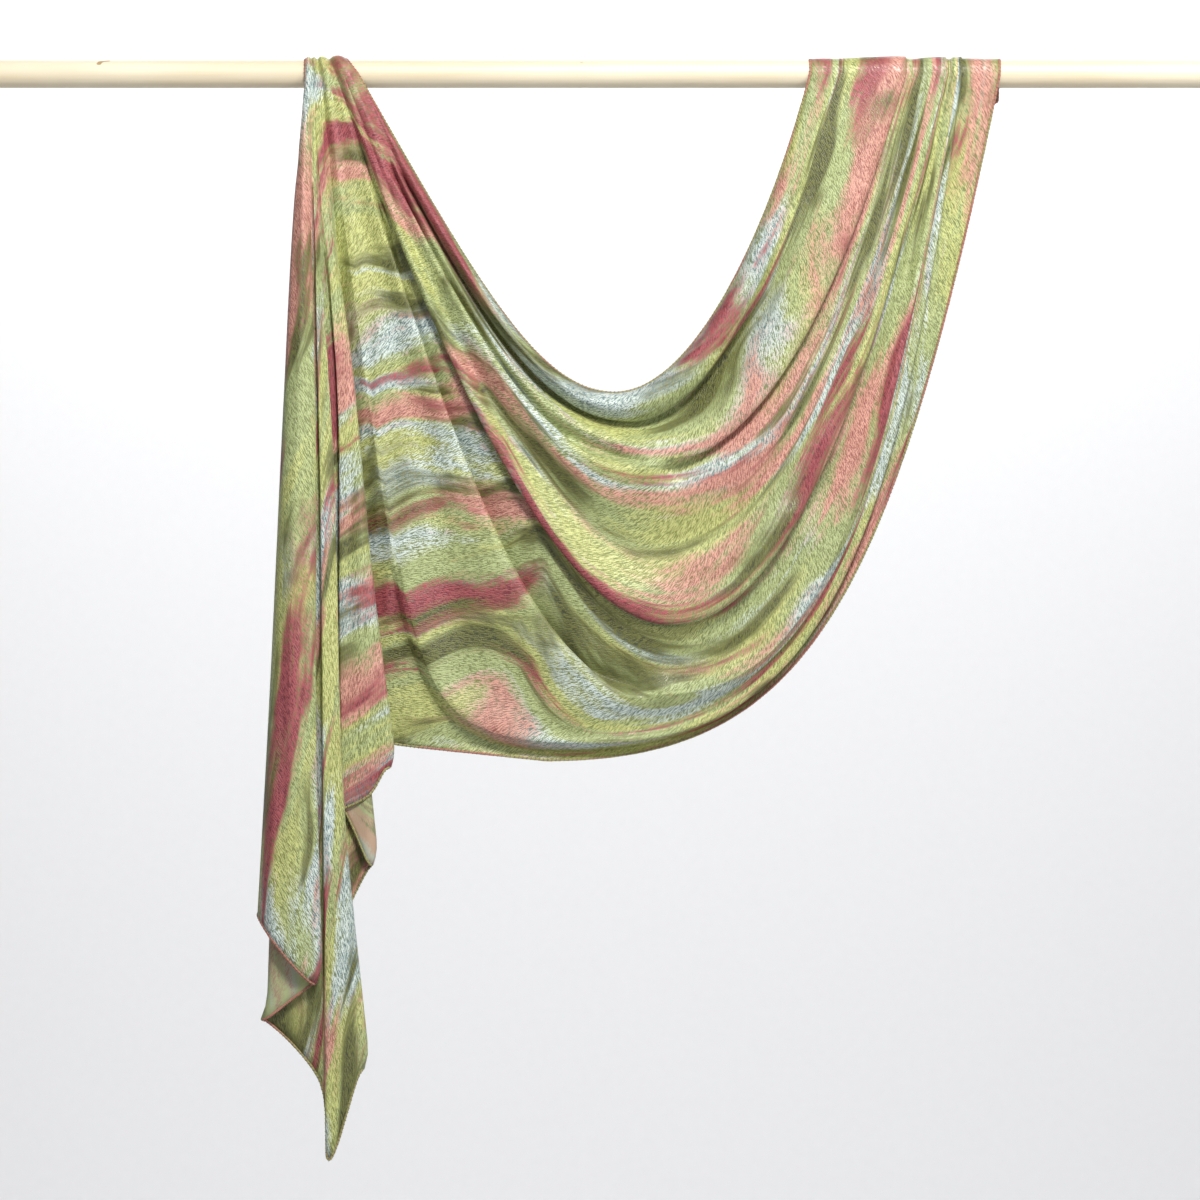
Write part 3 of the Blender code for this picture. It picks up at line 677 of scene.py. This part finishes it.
# the waves' pace outward from the middle of the swag's curves and round it, their shift and height
Wave = namedtuple("Wave", "outward around shift tall")
SLACK_WAVES = [
    Wave(0.105, 7.0, 0.3, 0.50),
    Wave(0.083, -11.0, 1.7, 0.42),
    Wave(0.151, 5.0, 4.1, 0.34),
    Wave(0.127, 17.0, 2.2, 0.30),
    Wave(0.166, -23.0, 5.3, 0.26),
]
SWAG_MIDDLE_X = -20.0
SWAG_MIDDLE_Z = 150.0
TAIL_ENDS_AT = -215.0
TAIL_BLENDS_OVER = 70.0


def slack(sheet):
    """The small unevenness of a soft cloth, in long shallow waves: round the swag, and down the tail.
    It moves all the layers of a fold alike."""
    x, z = sheet[:, :, 0], sheet[:, :, 2]
    around = np.arctan2(x - SWAG_MIDDLE_X, SWAG_MIDDLE_Z - z)
    out = np.hypot(x - SWAG_MIDDLE_X, SWAG_MIDDLE_Z - z)
    height = sum(wave.tall * np.sin(wave.outward * out + wave.around * around + wave.shift)
                 for wave in SLACK_WAVES)
    in_swag = smooth_step((x - TAIL_ENDS_AT) / TAIL_BLENDS_OVER)
    down = 0.8 * np.sin(0.27 * x + 0.006 * z) + 0.6 * np.sin(0.41 * x - 0.009 * z + 2.0)
    sheet[:, :, 1] -= (height * in_swag + down * (1.0 - in_swag)) * smooth_step(-z / 90.0)


press_creases(swag)
slack(swag)
slack(tail)
tail[0] = swag[-1][:tail.shape[1]]


STROKE_SLANT = math.radians(42.0)


def unit(vectors):
    return vectors / np.maximum(np.linalg.norm(vectors, axis=-1, keepdims=True), 1e-9)


def strokes_on(sheet, turn):
    """The way the crepe's strokes lie at each point, where the cut's length lies at a turn from
    the string."""
    run = unit(np.gradient(sheet[:, :, :3], axis=1))
    beside = np.gradient(sheet[:, :, :3], axis=0)
    beside = unit(beside - run * np.sum(beside * run, axis=2)[:, :, None])
    turn = (turn + STROKE_SLANT)[:, :, None]
    return run * np.cos(turn) - beside * np.sin(turn)


gather_lap = GATHER_LAP_STEPS + GATHER_LAP_ENDS
end_lap = END_LAP_STEPS + END_LAP_ENDS
swag_share = length_across(swag, gather_lap + SWAG_STEPS_LEFT)[:, None]
swag_place = np.pad(place, (gather_lap, end_lap), mode="edge")
swag_turn = math.pi - UPPER_OPENING + (UPPER_OPENING - FLAT_OPENING) * swag_share
swag_strokes = strokes_on(swag, swag_turn * (1.0 - smooth_step((swag_place - 0.2) / 0.8)))
tail_share = length_across(tail, int(TAIL_SPREADS_AT * tail.shape[1]))[:, None]
tail_turn = math.pi - FLAT_OPENING * (1.0 - tail_share)
tail_strokes = strokes_on(tail, np.broadcast_to(tail_turn, tail.shape[:2]))


def cloth_mesh(name, swag, tail):
    """One mesh for the swag and the tail, which share the string between them."""
    built = bmesh.new()
    cut = built.loops.layers.uv.new("cut")
    places = {}

    def grid(sheet, shared=None):
        rows = []
        for number, string in enumerate(sheet):
            if number == 0 and shared:
                rows.append(shared)
                continue
            row = []
            for point in string:
                vert = built.verts.new(point[:3] * MILLIMETRE)
                places[vert] = point[3:] * MILLIMETRE
                row.append(vert)
            rows.append(row)
        for above, below in zip(rows, rows[1:]):
            for column in range(len(below) - 1):
                face = built.faces.new((above[column], below[column],
                                        below[column + 1], above[column + 1]))
                face.smooth = True
                for loop in face.loops:
                    loop[cut].uv = places[loop.vert]
        return rows

    swag_rows = grid(swag)
    tail_rows = grid(tail, swag_rows[-1][:tail.shape[1]])
    built.verts.index_update()
    edge = [vert.index for vert in swag_rows[0]]
    edge += [row[-1].index for row in swag_rows[1:]]
    edge += [vert.index for vert in reversed(swag_rows[-1][tail.shape[1] - 1:-1])]
    edge += [row[-1].index for row in tail_rows[1:]]
    edge += [vert.index for vert in reversed(tail_rows[-1][:-1])]
    edge += [row[0].index for row in reversed(tail_rows[1:-1])]
    edge += [row[0].index for row in reversed(swag_rows[1:])]
    mesh = bpy.data.meshes.new(name)
    built.to_mesh(mesh)
    built.free()
    strokes = mesh.attributes.new("strokes", "FLOAT_VECTOR", "POINT")
    strokes.data.foreach_set("vector", np.vstack((swag_strokes.reshape(-1, 3),
                                                  tail_strokes[1:].reshape(-1, 3))).ravel())
    return mesh, edge


def add_object(name, mesh, *materials):
    item = bpy.data.objects.new(name, mesh)
    bpy.context.scene.collection.objects.link(item)
    for material in materials:
        mesh.materials.append(material)
    return item


# The print's inks as they look in soft light: the raised strokes, the gaps between them, which are the ink
# painted darker as shade, how many patches there are to a metre along and across the cut, their own shift,
# and where they begin.
Ink = namedtuple("Ink", "raised sunk along across shift start")
GROUND_RAISED = (184, 196, 138)
GROUND_PAINTED_GAP_SHADE = (120, 128, 76)
INKS = [
    Ink((204, 208, 134), (132, 136, 70), 4.0, 19.0, 0.0, 0.47),
    Ink((216, 227, 220), (90, 116, 118), 4.6, 21.0, 3.7, 0.52),
    Ink((220, 164, 146), (150, 90, 80), 4.0, 19.0, 7.1, 0.53),
    Ink((174, 88, 92), (112, 44, 52), 3.6, 19.0, 11.9, 0.55),
    Ink((116, 118, 62), (58, 60, 34), 4.8, 24.0, 16.3, 0.57),
]
INK_EDGE = 0.11
STROKE_REACH = (-1.4, -0.7, 0.0, 0.7, 1.4)
DOTS_PER_METRE = 1150.0


def crinkle(tree):
    """The raised pebbles of the crepe, short strokes that all lie one way on the cut, 0 between
    them: small dots drawn out along the stroke."""
    place = add_node(tree, "TexCoord", {}).outputs["Object"]
    way = add_node(tree, "Attribute", {}, attribute_name="strokes").outputs["Vector"]
    total = None
    for reach in STROKE_REACH:
        step = add_node(tree, "VectorMath", {0: way, "Scale": reach * MILLIMETRE}, operation="SCALE")
        there = add_node(tree, "VectorMath", {0: place, 1: step.outputs[0]}, operation="ADD").outputs[0]
        dots = noise(tree, stretched(tree, there, (DOTS_PER_METRE,) * 3), 0.0)
        total = dots if total is None else sums(tree, "ADD", total, dots)
    return between(tree, sums(tree, "DIVIDE", total, float(len(STROKE_REACH))), 0.40, 0.58)


def watercolour_print(tree, cut, pebbles):
    """Long soft patches of colour along the cut, with dry brushed ends. The layout is its own. It gives the
    ink's colour on the raised pebbles and a darker one for the gaps between them, which is painted shade.
    """
    drift = noise(tree, stretched(tree, cut, (4.0, 9.0, 1.0)), 1.0)
    move = sums(tree, "MULTIPLY", sums(tree, "SUBTRACT", drift, 0.5), 0.12)
    offset = add_node(tree, "CombineXYZ", {"X": move, "Y": move}).outputs[0]
    wet = add_node(tree, "VectorMath", {0: cut, 1: offset}, operation="ADD").outputs[0]
    brush = noise(tree, stretched(tree, wet, (13.0, 120.0, 1.0)), 3.0, 0.6)
    blots = noise(tree, stretched(tree, cut, (34.0, 60.0, 1.0), shift=(2.0, 5.0, 1.0)), 2.0)
    ragged = 0.0
    for pattern, weight in ((brush, 0.30), (blots, 0.14), (pebbles, 0.07)):
        uneven = sums(tree, "MULTIPLY", sums(tree, "SUBTRACT", pattern, 0.5), weight)
        ragged = sums(tree, "ADD", ragged, uneven)
    raised, sunk = seen(GROUND_RAISED), seen(GROUND_PAINTED_GAP_SHADE)
    for ink in INKS:
        scale = (ink.along, ink.across, 1.0)
        field = noise(tree, stretched(tree, wet, scale, shift=(ink.shift,) * 3), 1.5)
        share = between(tree, sums(tree, "ADD", field, ragged), ink.start, ink.start + INK_EDGE)
        raised = mixed(tree, share, raised, seen(ink.raised))
        sunk = mixed(tree, share, sunk, seen(ink.sunk))
    return raised, sunk


def satin_crepe():
    """The face of the cloth: glossy raised pebbles over a duller ground."""
    material, tree, shader = finish_of("printed_satin_crepe")
    cut = add_node(tree, "UVMap", {}, uv_map="cut").outputs[0]
    pebbles = crinkle(tree)
    raised, sunk = watercolour_print(tree, cut, pebbles)
    # the pebbles take the inks' raised colours, and the gaps between them the painted shade
    tree.links.new(mixed(tree, pebbles, sunk, raised), shader.inputs["Base Color"])
    rough = add_node(tree, "MapRange", {"Value": pebbles, "To Min": 0.55, "To Max": 0.36}).outputs[0]
    tree.links.new(rough, shader.inputs["Roughness"])
    fine = noise(tree, stretched(tree, cut, (1500.0, 1500.0, 1.0)), 1.0)
    height = sums(tree, "ADD", pebbles, sums(tree, "MULTIPLY", fine, 0.12))
    tree.links.new(relief(tree, height, 0.6, 0.0004), shader.inputs["Normal"])
    shader.inputs["Sheen Weight"].default_value = 0.15
    shader.inputs["Sheen Roughness"].default_value = 0.35
    shader.inputs["Specular IOR Level"].default_value = 0.6
    return material


REVERSE_GROUND = (170, 178, 140)
REVERSE_THREAD = (90, 92, 70)


def smooth_reverse():
    """The back of the cloth: the print seen through it, paler and nearly smooth."""
    material, tree, shader = finish_of("smooth_crepe_reverse")
    cut = add_node(tree, "UVMap", {}, uv_map="cut").outputs[0]
    pebbles = crinkle(tree)
    raised, sunk = watercolour_print(tree, cut, pebbles)
    # the reverse takes a share of the painted shade of the gaps too
    faded = mixed(tree, 0.38, mixed(tree, 0.35, raised, sunk), seen(REVERSE_GROUND))
    thread = noise(tree, stretched(tree, cut, (900.0, 900.0, 1.0)), 2.0)
    tree.links.new(mixed(tree, sums(tree, "MULTIPLY", thread, 0.16), faded, seen(REVERSE_THREAD)),
                   shader.inputs["Base Color"])
    rough = add_node(tree, "MapRange", {"Value": thread, "To Min": 0.5, "To Max": 0.62}).outputs[0]
    tree.links.new(rough, shader.inputs["Roughness"])
    tree.links.new(relief(tree, pebbles, 0.2, 0.0003), shader.inputs["Normal"])
    shader.inputs["Sheen Weight"].default_value = 0.15
    return material


cloth_skin, cloth_edge = cloth_mesh("hijab_cloth", swag, tail)
cloth = add_object("hijab_cloth", cloth_skin, satin_crepe(), smooth_reverse())
edge_places = np.array([cloth_skin.vertices[number].co for number in cloth_edge])
edge_normals = np.array([cloth_skin.vertices[number].normal for number in cloth_edge])

wall = cloth.modifiers.new("thickness", "SOLIDIFY")
wall.thickness = CLOTH_THICKNESS * MILLIMETRE
wall.offset = 0.0
wall.material_offset = 1
wall.use_rim = True
bpy.context.view_layer.update()
finished = bpy.data.meshes.new_from_object(cloth.evaluated_get(bpy.context.evaluated_depsgraph_get()))
cloth.modifiers.clear()
cloth.data = finished
finished.name = "hijab_cloth"
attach(cloth, "root")
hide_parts("swag", "tail", "gather_over_rod", "end_over_rod")


# The hem: the cut edge is rolled to the back and overlocked all round, a soft cord of cloth about
# 2 mm across. It is the cloth's own print, bound by slanted stitches of dark rose and olive thread.

HEM_STEP = 2.6
HEM_HALF_WIDTH = 1.25
HEM_HALF_THICKNESS = 0.8
HEM_SIDES = 7
HEM_OLIVE = (172, 168, 104)
HEM_ROSE = (196, 128, 110)
HEM_SHADE = (70, 58, 42)
STITCH_PITCH = 4.2
STITCH_SLANT = 1.3
STITCH_TURNS = np.radians((35.0, 75.0, 120.0, 180.0, 240.0, 285.0))
THREAD_RADIUS = 0.4
OLIVE_THREAD = (66, 62, 34)
ROSE_THREAD = (104, 44, 44)
THREAD_SHINE = (190, 160, 130)


def even_loop(points, others, step):
    """A closed line at even steps, with what else goes with its points."""
    closed = np.vstack((points, points[:1]))
    along = np.concatenate(([0.0], np.cumsum(np.linalg.norm(np.diff(closed, axis=0), axis=1))))
    count = int(along[-1] / step)
    at = np.linspace(0.0, along[-1], count, endpoint=False)
    made = []
    for values in (points, others):
        values = np.vstack((values, values[:1]))
        made.append(np.column_stack([np.interp(at, along, values[:, axis]) for axis in range(3)]))
    return made


def soften(values, passes):
    """Each value of a closed line drawn towards its neighbours."""
    for _ in range(passes):
        values = (np.roll(values, 1, axis=0) + 2.0 * values + np.roll(values, -1, axis=0)) / 4.0
    return values


def edge_frame(step):
    """Points along the edge with the way along it, the way in over the cloth and the cloth's normal."""
    points, normals = even_loop(edge_places / MILLIMETRE, edge_normals, step)
    points = soften(points, 2)
    along = unit(np.roll(points, -1, axis=0) - np.roll(points, 1, axis=0))
    normals = unit(soften(normals, 3))
    inward = unit(np.cross(along, normals))
    return points, along, inward, unit(np.cross(inward, along))


def tube_faces(built, rings, closed):
    """Faces between rings of verts, capped at both ends unless the tube is closed."""
    pairs = list(zip(rings, rings[1:])) + ([(rings[-1], rings[0])] if closed else [])
    for ring, following in pairs:
        for side in range(len(ring)):
            beside = (side + 1) % len(ring)
            face = built.faces.new((ring[side], ring[beside], following[beside], following[side]))
            face.smooth = True
    if not closed:
        built.faces.new(rings[0][::-1])
        built.faces.new(rings[-1])


def rolled_hem():
    """A closed flat cord along the whole edge, a little thicker here and thinner there."""
    points, _, inward, normals = edge_frame(HEM_STEP)
    built = bmesh.new()
    rings = []
    for number, (point, into, normal) in enumerate(zip(points, inward, normals)):
        swell = 1.0 + 0.08 * math.sin(number * 1.9) + 0.06 * math.sin(number * 0.53)
        ring = []
        for side in range(HEM_SIDES):
            turn = math.tau * side / HEM_SIDES
            offset = (into * (HEM_HALF_WIDTH * swell * math.cos(turn))
                      + normal * (HEM_HALF_THICKNESS * swell * math.sin(turn)))
            ring.append(built.verts.new((point + offset) * MILLIMETRE))
        rings.append(ring)
    tube_faces(built, rings, True)
    bmesh.ops.recalc_face_normals(built, faces=built.faces[:])
    mesh = bpy.data.meshes.new("rolled_hem")
    built.to_mesh(mesh)
    built.free()
    return mesh


def hem_stitches():
    """Each stitch is one turn of thread, from the front of the hem over its edge to the back."""
    points, along, inward, normals = edge_frame(STITCH_PITCH)
    built = bmesh.new()
    for point, way, into, normal in zip(points, along, inward, normals):
        rings = []
        for number, turn in enumerate(STITCH_TURNS):
            lean = way * STITCH_SLANT * (number / (len(STITCH_TURNS) - 1) - 0.5)
            radial = into * math.cos(turn) + normal * math.sin(turn)
            middle = (point + into * (HEM_HALF_WIDTH + 0.12) * math.cos(turn)
                      + normal * (HEM_HALF_THICKNESS + 0.14) * math.sin(turn) + lean)
            ring = [built.verts.new((middle + radial * THREAD_RADIUS * math.cos(side)
                                     + way * THREAD_RADIUS * 1.5 * math.sin(side)) * MILLIMETRE)
                    for side in (0.0, math.tau / 3, 2 * math.tau / 3)]
            rings.append(ring)
        tube_faces(built, rings, False)
    bmesh.ops.recalc_face_normals(built, faces=built.faces[:])
    mesh = bpy.data.meshes.new("hem_stitches")
    built.to_mesh(mesh)
    built.free()
    return mesh


def hem_crepe():
    material, tree, shader = finish_of("rolled_hem_crepe")
    place = add_node(tree, "TexCoord", {}).outputs["Object"]
    field = noise(tree, stretched(tree, place, (9.0, 9.0, 9.0)), 2.0)
    ink = mixed(tree, between(tree, field, 0.44, 0.56), seen(HEM_OLIVE), seen(HEM_ROSE))
    ribs = noise(tree, stretched(tree, place, (500.0, 500.0, 500.0)), 2.0)
    tree.links.new(mixed(tree, sums(tree, "MULTIPLY", ribs, 0.5), ink, seen(HEM_SHADE)),
                   shader.inputs["Base Color"])
    tree.links.new(relief(tree, ribs, 0.5, 0.0004), shader.inputs["Normal"])
    shader.inputs["Roughness"].default_value = 0.6
    return material


def overlock_thread():
    material, tree, shader = finish_of("overlock_thread")
    place = add_node(tree, "TexCoord", {}).outputs["Object"]
    field = noise(tree, stretched(tree, place, (5.0, 5.0, 5.0), shift=(1.0, 2.0, 3.0)), 1.0)
    twist = noise(tree, stretched(tree, place, (1500.0, 1500.0, 1500.0)), 1.0)
    thread = mixed(tree, between(tree, field, 0.44, 0.58), seen(OLIVE_THREAD), seen(ROSE_THREAD))
    tree.links.new(mixed(tree, sums(tree, "MULTIPLY", twist, 0.4), thread, seen(THREAD_SHINE)),
                   shader.inputs["Base Color"])
    tree.links.new(relief(tree, twist, 0.4, 0.0002), shader.inputs["Normal"])
    shader.inputs["Roughness"].default_value = 0.45
    shader.inputs["Sheen Weight"].default_value = 0.3
    return material


hem = add_object("rolled_hem", rolled_hem(), hem_crepe())
stitches = add_object("hem_stitches", hem_stitches(), overlock_thread())
for piece in (hem, stitches):
    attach(piece, "root")


# The studio: a roll of pale paper hung far behind the rod and run out over the floor, with a light of
# its own from above. One soft light hangs above the viewer, weaker ones stand at the right and the
# left, and the room adds its own even light.

WALL_AT = 9.0
WALL_TOP = 5.5
FLOOR_AT = -2.8
FLOOR_FRONT = -5.0
PAPER_BEND = 0.6
PAPER_HALF_WIDTH = 4.0
PAPER_GREY = (228, 228, 229)
PAPER_WHITE = (232, 232, 233)
CLOTH_MIDDLE = (0.0, 0.0, -0.5)
CAMERA_BACK = 6.0
CLOTH_FRONT = -0.03
FRAME_WIDTH = 1.2
FRAME_MIDDLE = -0.5285


def paper_roll():
    built = bmesh.new()
    profile = [(WALL_AT, WALL_TOP), (WALL_AT, FLOOR_AT + PAPER_BEND)]
    profile += [(WALL_AT - PAPER_BEND * (1.0 - math.cos(turn)),
                 FLOOR_AT + PAPER_BEND * (1.0 - math.sin(turn)))
                for turn in np.linspace(0.0, math.pi / 2, 20)[1:]]
    profile += [(FLOOR_FRONT, FLOOR_AT)]
    rows = [[built.verts.new((x, y, z)) for x in (-PAPER_HALF_WIDTH, PAPER_HALF_WIDTH)]
            for y, z in profile]
    for row, following in zip(rows, rows[1:]):
        built.faces.new((row[0], row[1], following[1], following[0])).smooth = True
    mesh = bpy.data.meshes.new("paper_roll")
    built.to_mesh(mesh)
    built.free()
    return mesh


def paper():
    material, tree, shader = finish_of("studio_paper")
    place = add_node(tree, "TexCoord", {}).outputs["Object"]
    fibres = noise(tree, stretched(tree, place, (40.0, 40.0, 40.0)), 3.0)
    tree.links.new(mixed(tree, fibres, seen(PAPER_GREY), seen(PAPER_WHITE)), shader.inputs["Base Color"])
    shader.inputs["Roughness"].default_value = 0.9
    return material


def soft_light(name, place, towards, size, watts, colour):
    lamp = bpy.data.lights.new(name, "AREA")
    lamp.size = size
    lamp.energy = watts
    lamp.color = colour
    item = bpy.data.objects.new(name, lamp)
    item.location = place
    item.rotation_euler = (Vector(towards) - Vector(place)).to_track_quat("-Z", "Y").to_euler()
    bpy.context.scene.collection.objects.link(item)


backdrop = add_object("paper_roll", paper_roll(), paper())
soft_light("key_light", (0.45, -2.0, 1.55), CLOTH_MIDDLE, 0.7, 84.0, (1.0, 0.99, 0.97))
soft_light("side_light", (2.4, -1.9, 0.0), CLOTH_MIDDLE, 0.9, 29.0, (1.0, 0.99, 0.98))
soft_light("fill_light", (-2.2, -2.6, 0.0), CLOTH_MIDDLE, 1.6, 12.0, (0.97, 0.985, 1.0))
soft_light("wall_light", (0.0, 6.3, 4.2), (0.0, 9.0, -1.5), 4.0, 490.0, (1.0, 1.0, 1.0))

world = bpy.data.worlds.new("room_light")
world.use_nodes = True
world.node_tree.nodes["Background"].inputs["Color"].default_value = (0.95, 0.97, 1.0, 1.0)
world.node_tree.nodes["Background"].inputs["Strength"].default_value = 0.22
bpy.context.scene.world = world
bpy.context.scene.view_settings.view_transform = "Standard"

lens = bpy.data.cameras.new("camera")
lens.sensor_width = 36.0
lens.lens = lens.sensor_width * CAMERA_BACK / FRAME_WIDTH
camera = bpy.data.objects.new("camera", lens)
camera.location = (0.0, CLOTH_FRONT - CAMERA_BACK, FRAME_MIDDLE)
camera.rotation_euler = (math.pi / 2, 0.0, 0.0)
bpy.context.scene.collection.objects.link(camera)
bpy.context.scene.camera = camera
